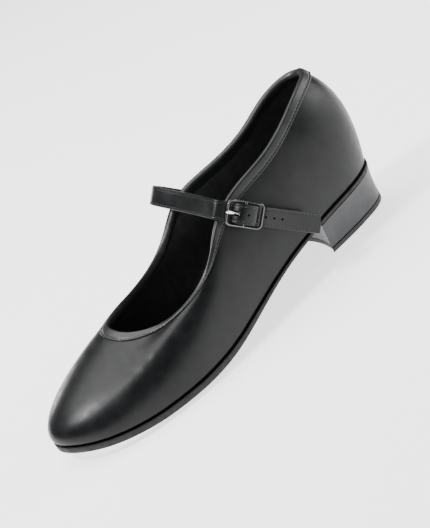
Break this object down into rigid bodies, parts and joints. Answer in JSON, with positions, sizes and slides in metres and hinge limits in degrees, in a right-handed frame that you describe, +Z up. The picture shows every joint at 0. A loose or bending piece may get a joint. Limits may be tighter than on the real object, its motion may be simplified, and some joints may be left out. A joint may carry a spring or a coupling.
{
  "type": "tap shoe",
  "caption": "Low-cut dance shoe with a buckled instep strap, a low block heel and metal tap plates screwed under toe and heel; left foot.",
  "frame": {"origin": "middle of the shoe's plan, on the plane that the tap faces stand on", "axes": "toe towards -X, heel towards +X, buckle (outer) side towards -Y, +Z up"},
  "size_m": [0.247, 0.0786, 0.0946],
  "materials": {
    "black_leather": "satin black leather with a fine grain",
    "strap_leather": "satin black leather",
    "binding_leather": "soft matt black leather",
    "lining": "matt black lining",
    "sock_lining": "matt black lining leather",
    "stiffener_board": "raw stiffener board",
    "insole_board": "raw fibre board",
    "cork_filler": "granular cork",
    "outsole": "dark sole leather, matt",
    "heel_block": "smooth dark grey, satin",
    "top_lift": "matt dark grey",
    "tap_aluminium": "brushed, worn bright",
    "steel": "plain steel",
    "buckle_metal": "dark nickel",
    "prong_metal": "bright nickel"
  },
  "bodies": {
    "shoe": {"bottom_filler": "cork_filler", "buckle_chape": "strap_leather", "heel_attaching_screw": "steel", "heel_block": "heel_block", "heel_counter": "stiffener_board", "heel_nail_1": "steel", "heel_nail_2": "steel", "heel_nail_3": "steel", "heel_nail_4": "steel", "heel_tap": "tap_aluminium", "heel_tap_screw_1": "steel", "heel_tap_screw_2": "steel", "heel_tap_screw_3": "steel", "insole_board": "insole_board", "instep_strap": "strap_leather", "outsole": "outsole", "quarter_and_vamp_lining": "lining", "sock_lining": "sock_lining", "steel_shank": "steel", "toe_puff": "stiffener_board", "toe_tap": "tap_aluminium", "toe_tap_screw_1": "steel", "toe_tap_screw_2": "steel", "toe_tap_screw_3": "steel", "top_lift": "top_lift", "topline_binding": "binding_leather", "upper": "black_leather"},
    "buckle": {"buckle_frame": "buckle_metal"},
    "prong": {"buckle_prong": "prong_metal"},
    "tail": {"strap_tail": "strap_leather"}
  },
  "joints": [
    {"name": "buckle_pivot", "type": "hinge", "parent": "shoe", "child": "buckle", "pos_m": [0.02528, -0.03321, 0.06326], "axis": [0.6947, 0, 0.7193], "range_deg": [-3, 3]},
    {"name": "prong_pivot", "type": "hinge", "parent": "buckle", "child": "prong", "pos_m": [0.02528, -0.03321, 0.06326], "axis": [0.6947, 0, 0.7193], "range_deg": [0, 8]},
    {"name": "tail_lift", "type": "hinge", "parent": "shoe", "child": "tail", "pos_m": [0.0353, -0.0355, 0.05358], "axis": [-0.6947, 0, -0.7193], "range_deg": [0, 45]}
  ]
}
